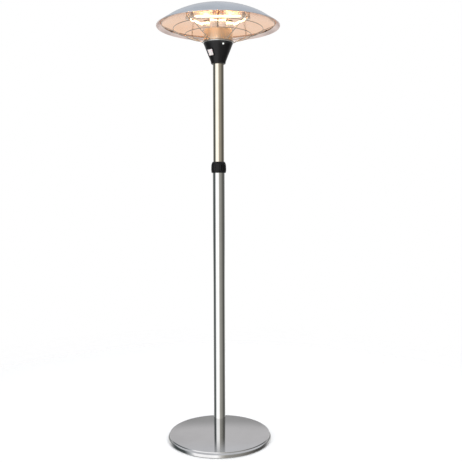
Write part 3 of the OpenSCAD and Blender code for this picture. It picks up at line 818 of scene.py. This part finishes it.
def make_quartz():
    """Quartz tubes with flat pinched seals at both ends."""
    half = LAMP_L / 2
    # Each station's place along the tube, then its half height and half width in tube radii
    seal = [
        (-half, 0.32, 0.88), (-half + 9 * MM, 0.32, 0.88), (-half + 12 * MM, 0.48, 0.92),
        (-half + 16 * MM, 0.88, 0.98), (-half + 20 * MM, 1, 1),
    ]
    middle = [(x * MM, 1, 1) for x in (-60, -30, 0, 30, 60)]
    stations = seal + middle + [(-x, tall, wide) for x, tall, wide in seal[::-1]]
    shape = bmesh.new()
    for place in each_lamp():
        loops = []
        for x, tall, wide in stations:
            loops.append([
                place @ Vector((x, wide * QUARTZ_R * math.cos(a), tall * QUARTZ_R * math.sin(a)))
                for a in even_angles(32)
            ])
        add_loft(shape, loops, caps=True)
    stands_for(finish_bmesh("halogen_tubes", shape, 45), "quartz_tubes", MATERIALS["quartz"])


def make_coils():
    """A coiled tungsten wire along each tube."""
    length, pitch, radius, wire = LAMP_L - 42 * MM, 2.6 * MM, 1.5 * MM, 0.42 * MM
    steps = 10
    points = int(length / pitch) * steps
    shape = bmesh.new()
    for place in each_lamp():
        path = []
        for i in range(points + 1):
            a = 2 * math.pi * i / steps
            along = -length / 2 + length * i / points
            path.append(place @ Vector((along, radius * math.cos(a), radius * math.sin(a))))
        add_sweep(shape, path, wire, 5)
    stands_for(finish_bmesh("tungsten_coils", shape, 60), "filaments", MATERIALS["filament"])


def make_holders():
    """Ceramic end blocks with a relief groove round them."""
    # Each block's place from the holder's middle, its length and its thickness, in millimetres
    blocks = ((-6.0, 9.6, 14), (0.4, 3.6, 12.4), (6.6, 8.8, 14))
    shape = bmesh.new()
    for place in each_lamp():
        for side in (-1, 1):
            for offset, length, thick in blocks:
                spot = place @ Matrix.Translation((side * (HOLDER_MID + offset * MM), 0, 0))
                add_block(shape, (length * MM, thick * MM, thick * MM), spot, 0.9 * MM, 3)
    stands_for(finish_bmesh("lamp_sockets", shape), "lamp_holders", MATERIALS["ceramic"])


def make_brackets():
    """Bent steel angles that hang the lamps' holders, each with a screw."""
    low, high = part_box("lamp_brackets")
    tall, thick, half, bevel, holder_top = high.z - low.z, 1 * MM, 6 * MM, 0.3 * MM, 7 * MM
    head = rounded([(0.2 * MM, 2.2 * MM), (2.2 * MM, 1.9 * MM), (3 * MM, 0.4 * MM), (3 * MM, 0)],
                   0.6 * MM)
    shape = bmesh.new()
    for place in each_lamp():
        for side in (-1, 1):
            spot = place @ Matrix.Translation((side * HOLDER_MID, 0, holder_top))
            flat = spot @ Matrix.Translation((0, 0, thick / 2))
            add_block(shape, (2 * half, 2 * half, thick), flat, bevel, 2)
            web = spot @ Matrix.Translation((0, -half + thick / 2, tall / 2))
            add_block(shape, (2 * half, thick, tall), web, bevel, 2)
            screw = spot @ Matrix.Translation((0, 1.5 * MM, thick))
            add_loft(shape, turned_loops(screw, head, 20), caps=True)
    stands_for(finish_bmesh("lamp_hangers", shape), "lamp_brackets", MATERIALS["plain_steel"])


def make_leads():
    """Sleeved leads from the terminal block, through the lamp plate, to the holders."""
    block_y, block_top, terminal_pitch = 28 * MM, CONE_TOP + 14 * MM, 13 * MM
    terminals = (0, 3, 2, 0, 0, 1)
    plate_hole_r, plate_hole_turn, sleeve_r = 44 * MM, 32, 1.3 * MM
    shape = bmesh.new()
    for i, terminal in enumerate(terminals):
        side, turn = (-1, 1)[i % 2], 120 * (i // 2)
        up = facing(turn + plate_hole_turn * side) @ Vector((0, -plate_hole_r, 0))
        end = facing(turn) @ Vector((side * (HOLDER_IN + 19.6 * MM), 2 * MM - LAMP_R, 0))
        start = Vector(((terminal - 1.5) * terminal_pitch, block_y, block_top))
        stops = [
            start, start + Vector((0, 0, 5 * MM)), up + Vector((0, 0, block_top + 26 * MM)),
            up + Vector((0, 0, LAMP_Z + 14 * MM)), end + Vector((0, 0, LAMP_Z + 14 * MM)),
            end + Vector((0, 0, LAMP_Z + 7 * MM)),
        ]
        add_sweep(shape, rounded(stops, 4 * MM, 6), sleeve_r, 12)
    stands_for(finish_bmesh("sleeved_leads", shape, 60), "lamp_leads", MATERIALS["lead_sleeve"])


# ---- Guard ----

def make_guard_rings():
    """Four rings of round wire, from the housing out to the rim."""
    for name, node in (("hub_wire", "guard_hub_ring"), ("inner_wire", "guard_ring_inner"),
                       ("middle_wire", "guard_ring_middle"), ("outer_wire", "guard_ring_outer")):
        low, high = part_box(node)
        wire = (high.z - low.z) / 2
        shape = bmesh.new()
        add_sweep(shape, circle(high.x - wire, (low.z + high.z) / 2, 224), wire, 16, closed=True)
        stands_for(finish_bmesh(name, shape, 60), node, MATERIALS["chrome_wire"])


def make_guard_spokes():
    """Six bent spokes that run out from the hub ring, under the other rings."""
    spokes, first, wire = 6, 30, 1.75 * MM
    hub_low, hub_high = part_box("guard_hub_ring")
    hub_z = (hub_low.z + hub_high.z) / 2 - 0.4 * MM
    stops = [Vector((0, -hub_high.x - 0.2 * MM, hub_z))]
    for node, out in (("guard_ring_inner", 0), ("guard_ring_middle", 0), ("guard_ring_outer", 1 * MM)):
        low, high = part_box(node)
        stops.append(Vector((0, wire - high.x - out, (low.z + high.z) / 2 - 2 * wire - 0.5 * MM)))
    path = rounded(stops, 12 * MM, 8)
    shape = bmesh.new()
    for i in range(spokes):
        turn = facing(first + 360 / spokes * i)
        add_sweep(shape, [turn @ p for p in path], wire, 14)
    stands_for(finish_bmesh("spoke_wires", shape, 60), "guard_spokes", MATERIALS["chrome_wire"])


def make_clips():
    """Folded strips that hold the outer ring under the reflector's lip."""
    low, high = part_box("guard_ring_outer")
    half_width, outer, inner, top = 6 * MM, 2.9 * MM, 2.0 * MM, 5.6 * MM
    place = Matrix.Translation((0, (low.z - high.z) / 2 + high.x, (low.z + high.z) / 2))
    section = rounded([
        (outer, top), (outer, -3.2 * MM), (-outer, -3.2 * MM), (-outer, 1.9 * MM),
        (-inner, 1.6 * MM), (-inner, -2.3 * MM), (inner, -2.3 * MM), (inner, top), (2.8 * MM, top),
    ], 0.4 * MM, 3)
    shape = bmesh.new()
    for turn in (180, 300, 60):
        spot = facing(turn) @ place
        loops = [[spot @ Vector((x, -y, z)) for y, z in section] for x in (-half_width, half_width)]
        add_loft(shape, loops, caps=True)
    stands_for(finish_bmesh("ring_clips", shape), "guard_clips", MATERIALS["plain_steel"])


# ---- Stage, lights and camera ----

def make_floor():
    """A pale round floor that fades out at its edge."""
    radius, rings, fade_start, fade_end = 3.4, 12, 0.7, 2.6
    shape = bmesh.new()
    rows = add_loft(shape, [circle(radius * i / rings, 0, 96) for i in range(1, rings + 1)])
    shape.faces.new(rows[0])
    floor = finish_bmesh("floor", shape)
    n = Surface("pale_floor")
    distance = n.add("ShaderNodeVectorMath", {0: n.coordinates}, operation="LENGTH").outputs["Value"]
    fade = n.span(distance, fade_start, fade_end, 1, 0, interpolation_type="SMOOTHSTEP")
    n.set(Base_Color=(0.93, 0.93, 0.93), Roughness=0.7, Alpha=fade)
    floor.data.materials.append(n.material)
    floor.visible_glossy = False


def horizon_ramp(n, across, back):
    """The brightness round the horizon, which shapes the bright metal: a white band and dark sides."""
    # Degrees from the front, then the level
    levels = [
        (-180, (0.28, 0.28, 0.28)), (-131, (0.23, 0.24, 0.24)), (-112, (0.05, 0.06, 0.06)),
        (-82, (0.06, 0.07, 0.07)), (-66, (0.40, 0.42, 0.43)), (-55, (1.0, 1.0, 1.0)),
        (-5, (1.0, 1.0, 1.0)), (5, (0.52, 0.51, 0.48)), (13, (0.31, 0.30, 0.27)),
        (25, (0.28, 0.275, 0.255)), (45, (0.24, 0.235, 0.215)), (66, (0.16, 0.155, 0.14)),
        (90, (0.07, 0.07, 0.065)), (112, (0.07, 0.07, 0.065)), (131, (0.22, 0.22, 0.22)),
        (180, (0.28, 0.28, 0.28)),
    ]
    turn = n.math("ARCTAN2", across, n.math("MULTIPLY", back, -1))
    ramp = n.add("ShaderNodeValToRGB", {"Fac": n.span(turn, -math.pi, math.pi, 0, 1)})
    stops = ramp.color_ramp.elements
    while len(stops) > 1:
        stops.remove(stops[-1])
    stops[0].position, stops[0].color = 0.0, (*levels[0][1], 1)
    for degrees, level in levels[1:]:
        stops.new(degrees / 360 + 0.5).color = (*level, 1)
    return ramp.outputs["Color"]


def make_world():
    """Soft studio surroundings: white to the camera, and shaped by direction for everything else."""
    world = bpy.data.worlds.new("studio")
    bpy.context.scene.world = world
    world.use_nodes = True
    n = ShaderTree(world.node_tree)
    direction = n.add("ShaderNodeTexCoord").outputs["Generated"]
    split = n.add("ShaderNodeSeparateXYZ", {0: direction})
    height, back = split.outputs["Z"], split.outputs["Y"]
    horizon = horizon_ramp(n, split.outputs["X"], back)

    def blend(value, low, high, first, second):
        """Goes from first to second as the value goes from low to high."""
        share = n.span(value, low, high, 0, 1, interpolation_type="SMOOTHSTEP")
        return n.mix(share, first, second)

    power, ground = 1.4, (0.64, 0.64, 0.63)
    high_wall = blend(height, 0.26, 0.34, horizon, (0.435, 0.43, 0.435))
    wall = blend(back, 0.45, 0.75, horizon, high_wall)
    sky = blend(height, 0.385, 0.52, wall, (0.50, 0.51, 0.53))
    behind = blend(back, 0.5, 0.85, horizon, ground)
    low = blend(height, -0.16, -0.06, behind, sky)
    paler = blend(back, -2.0, 1.0, horizon, ground)
    deep = blend(back, -0.1, 0.25, paler, ground)
    lower = blend(height, -0.62, -0.44, deep, low)
    around = blend(height, -0.95, -0.85, ground, lower)
    camera_ray = n.add("ShaderNodeLightPath").outputs["Is Camera Ray"]
    background = n.tree.nodes["Background"]
    n.feed(background.inputs["Color"], n.mix(camera_ray, around, (1 / power, 1 / power, 1 / power)))
    background.inputs["Strength"].default_value = power


def add_softbox(name, place, target, width, height, power):
    """A soft light that polished metal doesn't mirror."""
    data = bpy.data.lights.new(name, "AREA")
    data.shape = "RECTANGLE"
    data.size, data.size_y, data.energy = width, height, power
    light = bpy.data.objects.new(name, data)
    light.location = place
    light.rotation_euler = (Vector(target) - Vector(place)).to_track_quat("-Z", "Y").to_euler()
    light.visible_camera = False
    light.visible_glossy = False
    bpy.context.scene.collection.objects.link(light)


def make_lights():
    middle = (cad_low + cad_high) / 2
    add_softbox("key_softbox", (-2.6, -3.6, middle.z + 0.9), middle, 0.9, 3.2, 40)
    add_softbox("top_softbox", (0.4, 0.6, 4.4), (0, 0, 0), 3.0, 3.0, 105)
    add_softbox("floor_fill", (1.8, -3.2, 2.6), (0, 0, 0), 2.0, 1.0, 25)


def make_camera():
    """The viewpoint: just below the switch housing, three metres in front."""
    focal_length, sensor_width, tilt_down, roll = 50.15, 36, 1.18, -0.2
    data = bpy.data.cameras.new("camera")
    data.lens, data.sensor_width = focal_length, sensor_width
    data.shift_y = -0.06
    camera = bpy.data.objects.new("camera", data)
    camera.location = (0.059, -3.121, 1.209)
    pitch = Matrix.Rotation(math.radians(90 - tilt_down), 3, "X")
    camera.rotation_euler = (pitch @ Matrix.Rotation(math.radians(roll), 3, "Z")).to_euler()
    bpy.context.scene.collection.objects.link(camera)
    bpy.context.scene.camera = camera


bpy.context.scene.view_settings.view_transform = "Standard"
make_camera()
dress_cad_nodes()
make_base_shell()
make_pads()
make_grommet()
make_collar()
make_trim_ring()
make_switch_frame()
make_key("key_left", "switch_key_left", -1)
make_key("key_right", "switch_key_right", 1)
make_lens()
make_column()
make_column_plates()
make_dome()
make_reflector()
make_crown_washer()
make_crown_nut()
make_quartz()
make_coils()
make_holders()
make_brackets()
make_leads()
make_guard_rings()
make_guard_spokes()
make_clips()
make_floor()
make_world()
make_lights()
